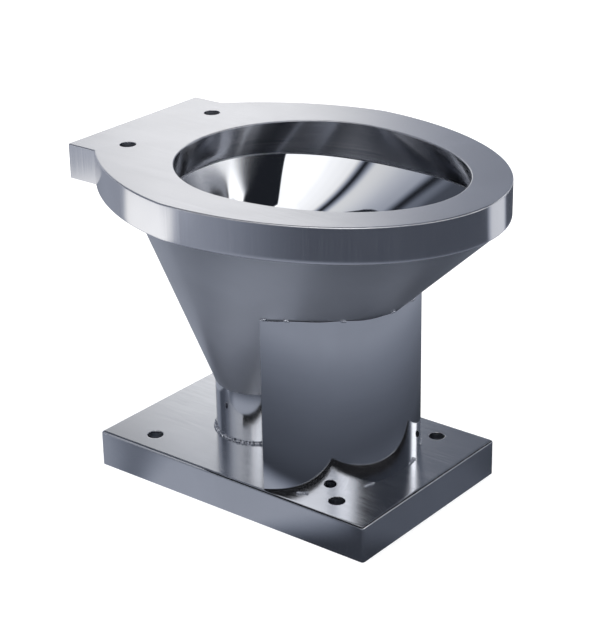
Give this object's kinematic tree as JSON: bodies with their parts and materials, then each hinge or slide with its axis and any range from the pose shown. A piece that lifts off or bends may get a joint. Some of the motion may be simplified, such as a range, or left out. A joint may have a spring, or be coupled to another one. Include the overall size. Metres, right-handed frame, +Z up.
{
  "type": "pedestal WC pan",
  "caption": "Raised sheet-metal WC pan: egg-shaped box rim with a seat deck, tapering bowl, vertical floor outlet, curved front apron and a bolt-down floor box.",
  "frame": {"origin": "the waste pipe's axis at floor level", "axes": "+Z up, the bowl's front faces -Y, +X is on the right of someone who faces the front"},
  "size_m": [0.379, 0.478, 0.373],
  "materials": {
    "brushed_plate": "fine brushed stainless steel, satin",
    "brushed_skirt": "stainless steel, brushed along the rim",
    "brushed_wall": "stainless steel, brushed along the wall",
    "polished_bowl": "stainless steel, polished inside, smooth outside",
    "plain_sheet": "stainless steel, mill finish",
    "plain_pipe": "stainless steel tube, smooth",
    "rolled_apron": "rolled stainless sheet, smooth",
    "satin_box": "bent stainless sheet, satin",
    "weld": "bare weld bead, uneven"
  },
  "bodies": {
    "root": {"seat_plate": "brushed_plate", "rim_skirt": "brushed_skirt", "deck_wall": "brushed_skirt", "rim_inner_wall": "brushed_wall", "rim_floor_plate": "plain_sheet", "flush_socket": "plain_sheet", "seat_bolt_sleeves": "plain_sheet", "bowl": "polished_bowl", "bowl_seam_weld": "weld", "waste_pipe": "plain_pipe", "pipe_foot_weld": "weld", "front_apron": "rolled_apron", "apron_tack_welds": "weld", "apron_stitch_welds": "weld", "floor_box": "satin_box", "front_cross_rib": "plain_sheet", "rear_cross_rib": "plain_sheet", "floor_bolt_sleeves": "plain_sheet"}
  },
  "joints": []
}
